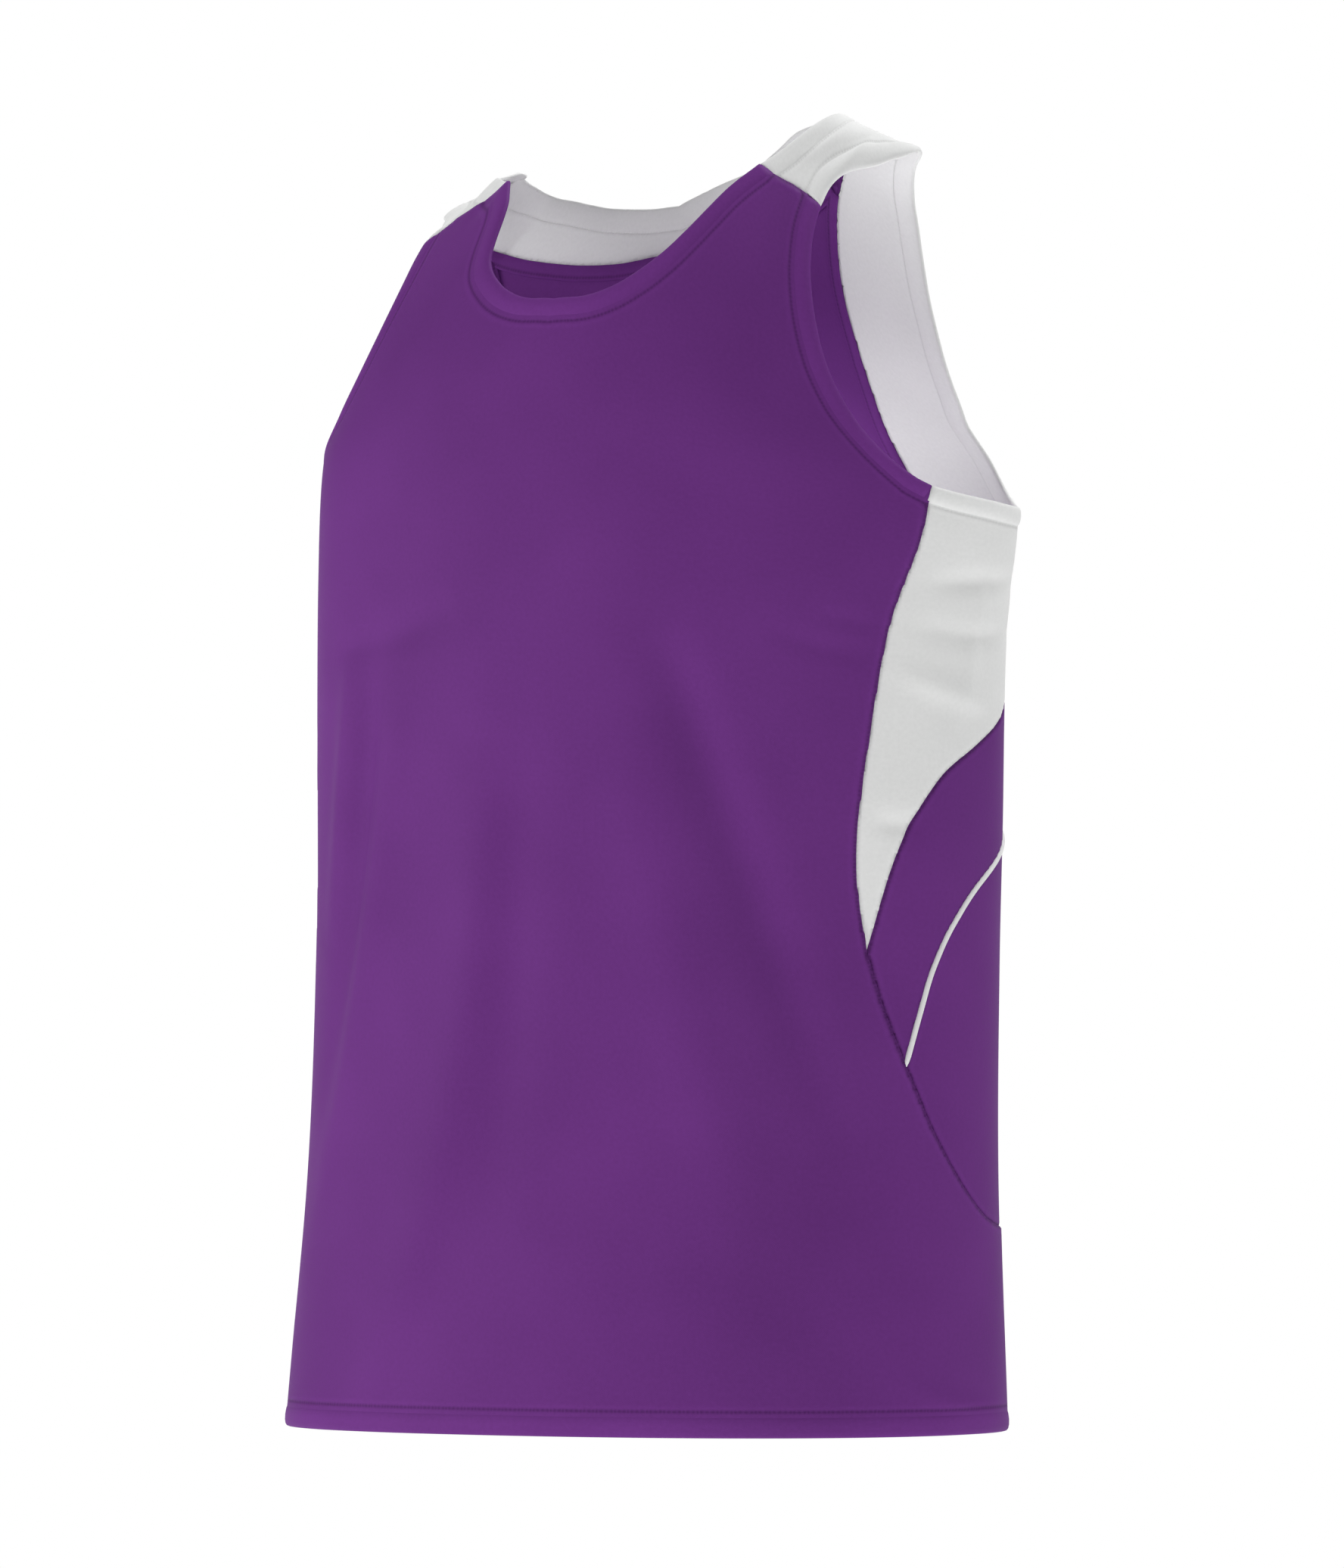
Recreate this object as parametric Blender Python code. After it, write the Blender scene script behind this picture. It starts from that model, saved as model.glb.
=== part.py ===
# Track singlet, worn on a general figure and shown hollow.
# Front is -Y, the wearer's left is +X, up is +Z. The origin lies midway between the two
# shoulder straps, level with the middle of each strap where it rests on the shoulder.
#
# Every point of the cloth is named by a turn round the body and a drop below the shoulder
# ridge. Turns run from 0 at centre front over 1 at the side line to 2 at centre back and are
# negative on the wearer's right. The pieces are cut flat in these two coordinates, as a
# cutter lays them out, and then wrapped round the form.
import bmesh
import bpy
import numpy as np

CM = 0.01
WALL = 0.0012             # cloth with its turned edges, as one even wall
SEAM_GAP = 0.0003         # between the edges of two pieces
RIDGE_RISE = 0.052        # centre of the shoulder ridge above the origin
HEM_DROP = 75.7           # cm, ridge to bottom hem
SADDLE = 0.030            # half width over which the shoulder slope rounds at the centre
BACK_SHIFT = 0.09         # turn by which the upper back hangs over to the wearer's right
BAND_SHIFT = 0.045        # how much further its side bands do
STRAP_SPREAD = ((0.15, 0.30, 0.452, 0.53, 0.645, 0.80),    # the far strap lies wider in front:
                (0.0, 0.053, 0.053, 0.0, -.037, -.037))    # turn, and what is added to it
QUARTER = 0.27            # mean length of a quarter turn, for measuring along the cloth
TURN_STEP = 0.056         # width of a mesh cell, in turns
FALL_STEP = 0.036         # height of a mesh cell, less near the shoulder ridge
EDGE_STEP = 0.016         # spacing of the points of a curved edge
PIPING_WIDTH = 0.003
PIPING_HEIGHT = 0.0014
PIPING_SHORT = 0.0030     # each end stops this far from the side seam
PIPING_LIFT = 0.0006      # its flat side above the panels, which are faceted

PURPLE = (0.133, 0.036, 0.205, 1.0)
WHITE = (0.86, 0.86, 0.86, 1.0)

# Level sections of the body, top to bottom. Lengths in cm. "front" and "back" are how far the
# centre lines stand off the ridge's plane, "side" is the y of the side line, "square" the
# power of the section's curve, "slope" the fall towards the shoulder, "lean" the tilt to +X.
LEVELS = np.array([
    # drop   half   front  back   side  square slope  lean
    (0.0,    16.8,   0.0,   0.0,   0.0,  4.4,  0.488, 0.022),
    (3.0,    17.5,   4.3,   1.8,  -0.5,  4.0,  0.450, 0.000),
    (7.0,    18.2,   7.4,   2.5,  -1.2,  3.4,  0.406, -.010),
    (12.0,   19.0,  10.5,   3.8,  -1.7,  2.8,  0.350, -.030),
    (17.0,   19.9,  12.4,   6.0,  -1.8,  2.5,  0.238, -.055),
    (22.0,   20.6,  13.5,   8.5,  -1.9,  2.4,  0.094, -.072),
    (30.0,   20.8,  14.7,  10.4,  -2.0,  2.3,  0.012, -.068),
    (40.0,   20.8,  15.3,  11.3,  -2.2,  2.2,  0.000, -.045),
    (50.0,   20.8,  15.7,  11.6,  -2.5,  2.1,  0.000, -.022),
    (62.0,   20.9,  16.4,  11.5,  -2.9,  2.1,  0.000, -.006),
    (HEM_DROP, 21.4, 17.6, 11.4,  -3.4,  2.2,  0.000, 0.005),
])

# Edges of the front panel: turn from centre front, drop in cm.
NECK_FRONT = [(0, 14.4), (.08, 14.1), (.15, 13.2), (.21, 11.9), (.26, 10.5), (.30, 9.1),
              (.345, 7.4), (.390, 5.8), (.452, 4.1)]
SHOULDER_SEAM = [(.452, 4.1), (.52, 4.35), (.59, 4.55), (.645, 4.95)]
ARMHOLE_FRONT = [(.645, 4.95), (.632, 6.8), (.631, 8.5), (.639, 10.2), (.655, 12.3),
                 (.678, 14.6), (.718, 17.1), (.779, 20.0), (.838, 21.7), (.872, 22.25)]
SIDE_SEAM_TOP = [(.872, 22.25), (.848, 26.0), (.785, 31.5), (.745, 38.6), (.729, 43.0),
                 (.732, 46.1), (.755, 49.7)]
SIDE_SEAM_MIDDLE = [(.755, 49.7), (.790, 52.6), (.843, 55.9)]
SIDE_SEAM_LOW = [(.843, 55.9), (.911, 59.4), (.994, 62.2), (1.085, 64.0), (1.195, 64.6),
                 (1.5, 64.9), (2.0, 65.0)]

# Edges of the back pieces: turn from centre back, drop in cm, negative on the front side of
# the shoulder ridge.
ARMHOLE_BACK = [(1.128, 22.25), (1.072, 22.6), (1.012, 22.85), (.92, 23.15), (.84, 23.1),
                (.80, 22.3), (.785, 20.9), (.799, 17.7), (.828, 15.2), (.853, 11.8), (.858, 8.3),
                (.872, 4.9), (.88, 3.1), (.90, 1.3), (.958, 0), (.912, -.4), (.851, -1.0),
                (.742, -2.2), (.673, -3.5), (.645, -4.95)]
NECK_BACK = [(0, 7.45), (.094, 7.0), (.23, 5.85), (.302, 4.98), (.351, 4.28), (.414, 3.4),
             (.49, 2.17), (.585, .95), (.64, .25), (.655, 0), (.585, -1.1), (.515, -2.7),
             (.452, -4.1)]
YOKE_SEAM = [(0, 9.95), (.086, 9.72), (.212, 9.17), (.336, 8.14), (.472, 6.42), (.558, 5.14),
             (.635, 3.95), (.668, 3.4)]
BAND_SEAM = [(.668, 3.4), (.652, 4.0), (.615, 5.5), (.579, 8.1), (.563, 10.3), (.556, 13.1),
             (.535, 16.6), (.505, 20.5), (.53, 25.5), (.64, 30.8), (.80, 35.0), (.98, 37.9),
             (1.084, 39.8), (1.176, 43.6), (1.245, 49.7)]
PIPING_SEAM = [(1.157, 55.9), (1.122, 52.7), (1.094, 50.5), (1.042, 48.1), (.947, 45.6),
               (.757, 42.9), (.55, 40.4), (.30, 38.3), (0, 37.5)]

# Largest folds: a curve through three points (turn, drop in cm), half its width and its
# height in mm, positive where the cloth stands out.
FOLDS = [
    # turn   drop   turn   drop   turn   drop  width height
    (-.505, 33.5, -.510, 40.0, -.600, 50.0,  14,  4.5),
    (-.425, 34.0, -.440, 44.0, -.600, 62.0,  15, -5.0),
    (-.330, 34.5, -.400, 47.0, -.630, 66.0,  18,  5.0),
    (-.080, 38.0, -.120, 57.0, -.360, 75.7,  20,  5.5),
    (0.020, 40.0, 0.016, 52.0, -.020, 68.0,  16, -2.0),
    (0.330, 32.0, 0.500, 44.5, 0.740, 62.0,  15, -6.0),
    (0.250, 36.0, 0.400, 52.0, 0.560, 70.0,  22,  3.5),
    (-.150, 31.0, -.337, 33.0, -.580, 34.2,  12, -3.0),
    (1.560, 36.0, 1.640, 48.0, 1.700, 60.0,  18,  4.5),
    (1.720, 30.0, 1.760, 46.0, 1.820, 62.0,  16, -4.5),
    (-1.62, 32.0, -1.66, 46.0, -1.60, 62.0,  18,  4.5),
    (-1.78, 34.0, -1.80, 50.0, -1.76, 64.0,  16, -4.0),
    (1.300, 28.0, 1.360, 42.0, 1.400, 60.0,  16, -3.5),
    (-1.26, 30.0, -1.32, 44.0, -1.36, 60.0,  16, -3.5),
    # the underarms stand off, the right side lies closer, the right neck point sags
    (0.800, 21.0, 1.220, 21.5, 1.640, 21.0,  70, 12.0),
    (-.800, 21.0, -1.22, 21.5, -1.64, 21.0,  70, 12.0),
    (-.480,  2.0, -.500, 38.0, -.580, 72.0,  55, -3.5),
    (-.766, -5.0, -.741,  0.0, -.671,  5.0,  56, -9.6),
    (-1.234, -5.0, -1.259, 0.0, -1.329, 5.0, 56, -9.6),
    (-.400,  4.0, -.452,  4.1, -.500,  4.2,  16, -6.0),
]


def clear_scene():
    for item in list(bpy.data.objects):
        bpy.data.objects.remove(item, do_unlink=True)


def hermite_rows(knots, rows, where):
    """Values of the table's rows at the places given, on smooth curves through the rows."""
    slope = np.gradient(rows, knots, axis=0)
    slope[1:-1] = (rows[2:] - rows[:-2]) / (knots[2:] - knots[:-2])[:, None]
    k = np.clip(np.searchsorted(knots, where, side="right") - 1, 0, len(knots) - 2)
    span = (knots[k + 1] - knots[k])[:, None]
    t = (where - knots[k])[:, None] / span
    start, end = rows[k], rows[k + 1]
    return ((2 * t**3 - 3 * t**2 + 1) * start + (t**3 - 2 * t**2 + t) * span * slope[k]
            + (3 * t**2 - 2 * t**3) * end + (t**3 - t**2) * span * slope[k + 1])


def on_form(turn, root):
    """Points of the plain form. root is the square root of the drop in metres."""
    side_share = np.abs(turn)
    in_front = side_share <= 1
    share = np.where(in_front, side_share, 2 - side_share)
    table = LEVELS[:, 1:].copy()
    table[:, :4] *= CM
    half, front, back, side, square, slope, lean = hermite_rows(
        np.sqrt(LEVELS[:, 0] * CM), table, root).T
    depth = np.where(in_front, front + side, back - side)
    power = (2 / square)[:, None]
    angles = (1 - np.cos(np.linspace(0, np.pi, 65))) * np.pi / 4
    across = half[:, None] * np.sin(angles) ** power
    along = depth[:, None] * np.cos(angles) ** power
    steps = np.hypot(np.diff(across), np.diff(along))
    length = np.hstack([np.zeros((len(turn), 1)), np.cumsum(steps, axis=1)])
    wanted = share * length[:, -1]
    k = np.clip((length < wanted[:, None]).sum(axis=1) - 1, 0, len(angles) - 2)
    row = np.arange(len(turn))
    gap = np.maximum(length[row, k + 1] - length[row, k], 1e-12)
    angle = angles[k] + (angles[k + 1] - angles[k]) * np.clip((wanted - length[row, k]) / gap, 0, 1)
    x = np.sign(turn) * half * np.sin(angle) ** power[:, 0]
    y = side + np.where(in_front, -1, 1) * depth * np.cos(angle) ** power[:, 0]
    z = RIDGE_RISE - root**2 - slope * (np.hypot(x, SADDLE) - SADDLE) + lean * x
    return np.stack([x, y, z], axis=1)


def fold_height(turn, root):
    """How far the folds move each point out, in metres."""
    spot = np.stack([turn * QUARTER, root**2], axis=1)
    height = np.zeros(len(turn))
    t = np.linspace(0, 1, 17)[:, None]
    for a, a_drop, b, b_drop, c, c_drop, width, rise in FOLDS:
        start, middle, end = (np.array([u * QUARTER, v * CM])
                              for u, v in ((a, a_drop), (b, b_drop), (c, c_drop)))
        control = 2 * middle - (start + end) / 2
        line = (1 - t)**2 * start + 2 * t * (1 - t) * control + t**2 * end
        away = np.linalg.norm(spot[:, None] - line[None], axis=2)
        nearest = away.argmin(axis=1)
        taper = np.sin(np.pi * np.clip(nearest / 16, 0.02, 0.98)) ** 0.8
        height += rise * 0.001 * taper * np.exp(-(away.min(axis=1) / (width * 0.001)) ** 2)
    return height


def smooth_step(low, high, value):
    t = np.clip((value - low) / (high - low), 0, 1)
    return t * t * (3 - 2 * t)


def turns_of(chart, across, root):
    """Turn and root on the form of points of the front chart or the back chart."""
    before = root if chart == "front" else -root
    across = across + (np.interp(-across, *STRAP_SPREAD) * smooth_step(0.06, 0.19, before)
                       * smooth_step(0.34, 0.24, before))
    if chart == "front":
        return across, np.abs(root)
    away = np.abs(across)
    over = BACK_SHIFT + BAND_SHIFT * smooth_step(0.25, 0.6, away)
    hung = smooth_step(0, 0.2, root) * smooth_step(0.68, 0.38, root)
    shifted = across - over * hung * smooth_step(1.12, 0.72, away)
    round_back = np.where(shifted < 0, -2 - shifted, 2 - shifted)
    return np.where(root < 0, across, round_back), np.abs(root)


def wrapped(chart, across, root):
    turn, level = turns_of(chart, across, root)
    return on_form(turn, level)


def cloth_points(chart, across, root):
    """Outer points of the cloth and their outward directions."""
    small = 0.004
    aside = wrapped(chart, across + small, root) - wrapped(chart, across - small, root)
    down = wrapped(chart, across, root + small) - wrapped(chart, across, root - small)
    outward = np.cross(down, aside)
    if chart == "back":
        outward = -outward
    outward /= np.linalg.norm(outward, axis=1)[:, None]
    turn, level = turns_of(chart, across, root)
    points = on_form(turn, level) + outward * fold_height(turn, level)[:, None]
    return points, outward


def edge_run(table, step=EDGE_STEP):
    """Evenly spaced points (turn, root) on a smooth curve through a table of an edge."""
    rows = np.array(table, dtype=float)
    rows[:, 1] = np.sign(rows[:, 1]) * np.sqrt(np.abs(rows[:, 1]) * CM)
    leg = np.diff(rows, axis=0)
    middle = (rows[1:] + rows[:-1]) / 2
    stretch = np.hypot(leg[:, 0] * QUARTER, leg[:, 1] * np.hypot(2 * middle[:, 1], 0.2))
    knots = np.concatenate([[0], np.cumsum(stretch)])
    count = max(2, round(knots[-1] / step))
    return hermite_rows(knots, rows, np.linspace(0, knots[-1], count + 1))


def to_back(run):
    """An edge of the front chart, below the ridge, named in the back chart."""
    return np.stack([2 - run[:, 0], run[:, 1]], axis=1)


def closed_outline(runs):
    """One side's runs from centre line to centre line, and the same mirrored, as a loop."""
    half = [runs[0][0]]
    for run in runs:
        half.extend(run[1:])
    half = np.array(half)
    other = half[::-1] * (-1, 1)
    on_line = np.abs(half[[0, -1], 0]) < 1e-6
    first = 1 if on_line[1] else 0
    last = len(other) - 1 if on_line[0] else len(other)
    return np.vstack([half, other[first:last]])


def cutting_levels():
    """Roots of the level lines, about a cell's height apart on the cloth."""
    levels = [0.0]
    while levels[-1] < np.sqrt(HEM_DROP * CM):
        low = levels[-1]
        step = FALL_STEP * min(1, 0.3 + low)
        levels.append(low + step / np.hypot(2 * low, 0.2))
    return levels


def cut_flat(outline):
    """The flat piece as triangles, cut along lines of even turn and along level lines."""
    flat = bmesh.new()
    flat.faces.new([flat.verts.new((u, v, 0)) for u, v in outline])
    turns = [TURN_STEP * n for n in range(-40, 41)]
    levels = cutting_levels()
    levels = [-v for v in levels[:0:-1]] + levels
    for normal, places in (((1, 0, 0), turns), ((0, 1, 0), levels)):
        for place in places:
            everything = flat.verts[:] + flat.edges[:] + flat.faces[:]
            bmesh.ops.bisect_plane(flat, geom=everything, dist=0.004,
                                   plane_co=[place * n for n in normal], plane_no=normal)
    bmesh.ops.triangulate(flat, faces=flat.faces[:])
    return flat


def shrink_edge(sheet, outward):
    """Draw the piece's edge in by half the gap, so that its neighbours stand clear."""
    inward = {}
    for edge in sheet.edges:
        if edge.is_boundary:
            a, b = edge.verts
            along = np.array(b.co - a.co)
            turned = np.cross(outward[a.index] + outward[b.index], along)
            to_face = np.array(edge.link_faces[0].calc_center_median() - a.co)
            turned *= np.sign(turned @ to_face) / np.linalg.norm(turned)
            for vert in (a, b):
                inward[vert] = inward.get(vert, 0) + turned
    for vert, push in inward.items():
        size = np.linalg.norm(push)
        vert.co += type(vert.co)(push / size * SEAM_GAP / 2 / max(size / 2, 0.5))


def new_object(name, mesh_source, colour, roughness):
    mesh = bpy.data.meshes.new(name)
    mesh_source.to_mesh(mesh)
    mesh_source.free()
    material = bpy.data.materials.new(name + "_cloth")
    material.use_nodes = True
    shader = material.node_tree.nodes["Principled BSDF"]
    shader.inputs["Base Color"].default_value = colour
    shader.inputs["Roughness"].default_value = roughness
    shader.inputs["Metallic"].default_value = 0.0
    mesh.materials.append(material)
    mesh.shade_smooth()
    mesh.set_sharp_from_angle(angle=np.radians(40))
    piece = bpy.data.objects.new(name, mesh)
    bpy.context.scene.collection.objects.link(piece)
    return piece


def sewn_piece(name, chart, outline, colour):
    """One cut piece, wrapped round the form and given its wall."""
    sheet = cut_flat(outline)
    sheet.verts.index_update()
    flat = np.array([vert.co[:2] for vert in sheet.verts])
    points, outward = cloth_points(chart, flat[:, 0], flat[:, 1])
    for vert, point in zip(sheet.verts, points):
        vert.co = point
    if chart == "front":
        bmesh.ops.reverse_faces(sheet, faces=sheet.faces[:])
    shrink_edge(sheet, outward)
    outer = sheet.verts[:]
    copied = bmesh.ops.extrude_face_region(sheet, geom=sheet.faces[:], use_keep_orig=True)
    inner = [item for item in copied["geom"] if isinstance(item, bmesh.types.BMVert)]
    nearest = {tuple(round(c, 7) for c in vert.co): outward[vert.index] for vert in outer}
    for vert in inner:
        vert.co -= type(vert.co)(nearest[tuple(round(c, 7) for c in vert.co)] * WALL)
    bmesh.ops.recalc_face_normals(sheet, faces=sheet.faces[:])
    return new_object(name, sheet, colour, 0.6)


def front_panel():
    up_side = [np.array([(2.0, np.sqrt(HEM_DROP * CM)), (2.0, np.sqrt(65.0 * CM))])]
    up_side += [edge_run(run)[::-1] for run in (SIDE_SEAM_LOW, SIDE_SEAM_MIDDLE, SIDE_SEAM_TOP)]
    up_side += [edge_run(run)[::-1] for run in (ARMHOLE_FRONT, SHOULDER_SEAM, NECK_FRONT)]
    return sewn_piece("front_panel", "front", closed_outline(up_side), PURPLE)


def back_yoke():
    shoulder = edge_run(SHOULDER_SEAM) * (1, -1)
    runs = [edge_run(NECK_BACK), shoulder, edge_run(ARMHOLE_BACK)[::-1],
            to_back(edge_run(SIDE_SEAM_TOP)), edge_run(BAND_SEAM)[::-1],
            edge_run(YOKE_SEAM)[::-1]]
    return sewn_piece("back_yoke", "back", closed_outline(runs), WHITE)


def centre_back_panel():
    runs = [edge_run(YOKE_SEAM), edge_run(BAND_SEAM), to_back(edge_run(SIDE_SEAM_MIDDLE)),
            edge_run(PIPING_SEAM)]
    return sewn_piece("centre_back_panel", "back", closed_outline(runs), PURPLE)


def lower_back_panel():
    runs = [edge_run(PIPING_SEAM)[::-1], to_back(edge_run(SIDE_SEAM_LOW))]
    return sewn_piece("lower_back_panel", "back", closed_outline(runs), PURPLE)


def back_piping():
    """A low rounded cord of cloth on the seam between the two back panels."""
    run = edge_run(PIPING_SEAM)
    run = np.vstack([run, run[-2::-1] * (-1, 1)])
    halfway = (run[1:] + run[:-1]) / 2
    run = np.insert(run, np.arange(1, len(run)), halfway, axis=0)
    points, outward = cloth_points("back", run[:, 0], run[:, 1])
    along = np.gradient(points, axis=0)
    points[0] += along[0] / np.linalg.norm(along[0]) * PIPING_SHORT
    points[-1] -= along[-1] / np.linalg.norm(along[-1]) * PIPING_SHORT
    across = np.cross(along, outward)
    across /= np.linalg.norm(across, axis=1)[:, None]
    half = PIPING_WIDTH / 2
    section = [(-half, 0), (-half * 0.8, 0.6), (0, 1.0), (half * 0.8, 0.6), (half, 0)]
    cord = bmesh.new()
    rings = []
    for point, out, side in zip(points, outward, across):
        ring = [point + side * s + out * (PIPING_LIFT + h * PIPING_HEIGHT) for s, h in section]
        rings.append([cord.verts.new(spot) for spot in ring])
    for one, two in zip(rings, rings[1:]):
        for n in range(len(section)):
            m = (n + 1) % len(section)
            cord.faces.new((one[n], one[m], two[m], two[n]))
    cord.faces.new(rings[0])
    cord.faces.new(rings[-1])
    bmesh.ops.triangulate(cord, faces=cord.faces[:])
    bmesh.ops.recalc_face_normals(cord, faces=cord.faces[:])
    return new_object("back_piping", cord, WHITE, 0.5)


clear_scene()
front_panel()
back_yoke()
centre_back_panel()
lower_back_panel()
back_piping()
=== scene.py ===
# Track singlet in worn shape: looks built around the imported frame.
# Cloth points are named by a turn round the body (0 centre front, 1 side, 2 centre back) and
# by how far down the cloth they lie; pieces are cut flat in those lengths and then wrapped.
import math

import bmesh
import bpy
import numpy as np
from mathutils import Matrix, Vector
from mathutils.kdtree import KDTree


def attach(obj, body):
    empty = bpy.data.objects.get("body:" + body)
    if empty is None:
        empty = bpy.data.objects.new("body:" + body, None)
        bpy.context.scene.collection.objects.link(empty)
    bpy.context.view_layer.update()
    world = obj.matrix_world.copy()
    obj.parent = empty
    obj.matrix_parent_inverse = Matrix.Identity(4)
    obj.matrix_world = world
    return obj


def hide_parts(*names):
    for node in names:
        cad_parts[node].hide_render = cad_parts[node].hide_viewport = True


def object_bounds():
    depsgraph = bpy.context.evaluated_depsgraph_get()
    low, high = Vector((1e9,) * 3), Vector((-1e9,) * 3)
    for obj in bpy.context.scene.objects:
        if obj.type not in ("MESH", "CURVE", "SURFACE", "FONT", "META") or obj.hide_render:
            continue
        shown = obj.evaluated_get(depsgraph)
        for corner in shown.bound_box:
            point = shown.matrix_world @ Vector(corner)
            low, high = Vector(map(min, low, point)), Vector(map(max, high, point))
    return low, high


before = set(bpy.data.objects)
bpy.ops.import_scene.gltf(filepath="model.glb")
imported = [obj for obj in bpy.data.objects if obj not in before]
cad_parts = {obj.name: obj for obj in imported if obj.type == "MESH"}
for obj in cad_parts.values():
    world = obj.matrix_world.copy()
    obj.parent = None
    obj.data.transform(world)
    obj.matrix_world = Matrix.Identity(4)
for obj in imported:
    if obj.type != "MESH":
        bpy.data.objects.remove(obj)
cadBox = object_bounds()
print("frame loaded")

cm = 0.01
form = {
    "ridgeRise": 0.052,      # centre of the shoulder ridge above the origin
    "hemDrop": 75.7,         # cm, ridge to bottom hem
    "saddle": 0.030,         # rounding of the shoulder slope at the centre
    "quarter": 0.27,         # mean length of a quarter turn
    "ridgeRun": 0.2,         # how fast the cloth leaves the ridge
    "arcPoints": 65,         # along a quarter of a section, where its length is measured
    "levels": np.array([     # cm; half width, centre depths, side line, squareness, slope, lean
        # drop   half   front  back   side  square slope  lean
        (0.0,    16.8,   0.0,   0.0,   0.0,  4.4,  0.488, 0.022),
        (3.0,    17.5,   4.3,   1.8,  -0.5,  4.0,  0.450, 0.000),
        (7.0,    18.2,   7.4,   2.5,  -1.2,  3.4,  0.406, -.010),
        (12.0,   19.0,  10.5,   3.8,  -1.7,  2.8,  0.350, -.030),
        (17.0,   19.9,  12.4,   6.0,  -1.8,  2.5,  0.238, -.055),
        (22.0,   20.6,  13.5,   8.5,  -1.9,  2.4,  0.094, -.072),
        (30.0,   20.8,  14.7,  10.4,  -2.0,  2.3,  0.012, -.068),
        (40.0,   20.8,  15.3,  11.3,  -2.2,  2.2,  0.000, -.045),
        (50.0,   20.8,  15.7,  11.6,  -2.5,  2.1,  0.000, -.022),
        (62.0,   20.9,  16.4,  11.5,  -2.9,  2.1,  0.000, -.006),
        (75.7,   21.4,  17.6,  11.4,  -3.4,  2.2,  0.000, 0.005),
    ]),
}

edges = {   # (turn, drop in cm); front edges from centre front, back edges from centre back
    "neckFront": [(0, 14.4), (.08, 14.1), (.15, 13.2), (.21, 11.9), (.26, 10.5), (.30, 9.1),
                  (.345, 7.4), (.390, 5.8), (.452, 4.1)],
    "shoulderSeam": [(.452, 4.1), (.52, 4.35), (.59, 4.55), (.645, 4.95)],
    "armholeFront": [(.645, 4.95), (.632, 6.8), (.631, 8.5), (.639, 10.2), (.655, 12.3),
                     (.678, 14.6), (.718, 17.1), (.779, 20.0), (.838, 21.7), (.872, 22.25)],
    "sideTop": [(.872, 22.25), (.848, 26.0), (.785, 31.5), (.745, 38.6), (.729, 43.0),
                (.732, 46.1), (.755, 49.7)],
    "sideMiddle": [(.755, 49.7), (.790, 52.6), (.843, 55.9)],
    "sideLow": [(.843, 55.9), (.911, 59.4), (.994, 62.2), (1.085, 64.0), (1.195, 64.6),
                (1.5, 64.9), (2.0, 65.0)],
    "armholeBack": [(1.128, 22.25), (1.072, 22.6), (1.012, 22.85), (.92, 23.15), (.84, 23.1),
                    (.80, 22.3), (.785, 20.9), (.799, 17.7), (.828, 15.2), (.853, 11.8),
                    (.858, 8.3), (.872, 4.9), (.88, 3.1), (.90, 1.3), (.958, 0), (.912, -.4),
                    (.851, -1.0), (.742, -2.2), (.673, -3.5), (.645, -4.95)],
    "neckBack": [(0, 7.45), (.094, 7.0), (.23, 5.85), (.302, 4.98), (.351, 4.28), (.414, 3.4),
                 (.49, 2.17), (.585, .95), (.64, .25), (.655, 0), (.585, -1.1), (.515, -2.7),
                 (.452, -4.1)],
    "yokeSeam": [(0, 9.95), (.086, 9.72), (.212, 9.17), (.336, 8.14), (.472, 6.42),
                 (.558, 5.14), (.635, 3.95), (.668, 3.4)],
    "bandSeam": [(.668, 3.4), (.652, 4.0), (.615, 5.5), (.579, 8.1), (.563, 10.3),
                 (.556, 13.1), (.535, 16.6), (.505, 20.5), (.53, 25.5), (.64, 30.8), (.80, 35.0),
                 (.98, 37.9), (1.084, 39.8), (1.176, 43.6), (1.245, 49.7)],
    "pipingSeam": [(1.157, 55.9), (1.122, 52.7), (1.094, 50.5), (1.042, 48.1), (.947, 45.6),
                   (.757, 42.9), (.55, 40.4), (.30, 38.3), (0, 37.5)],
}

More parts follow.
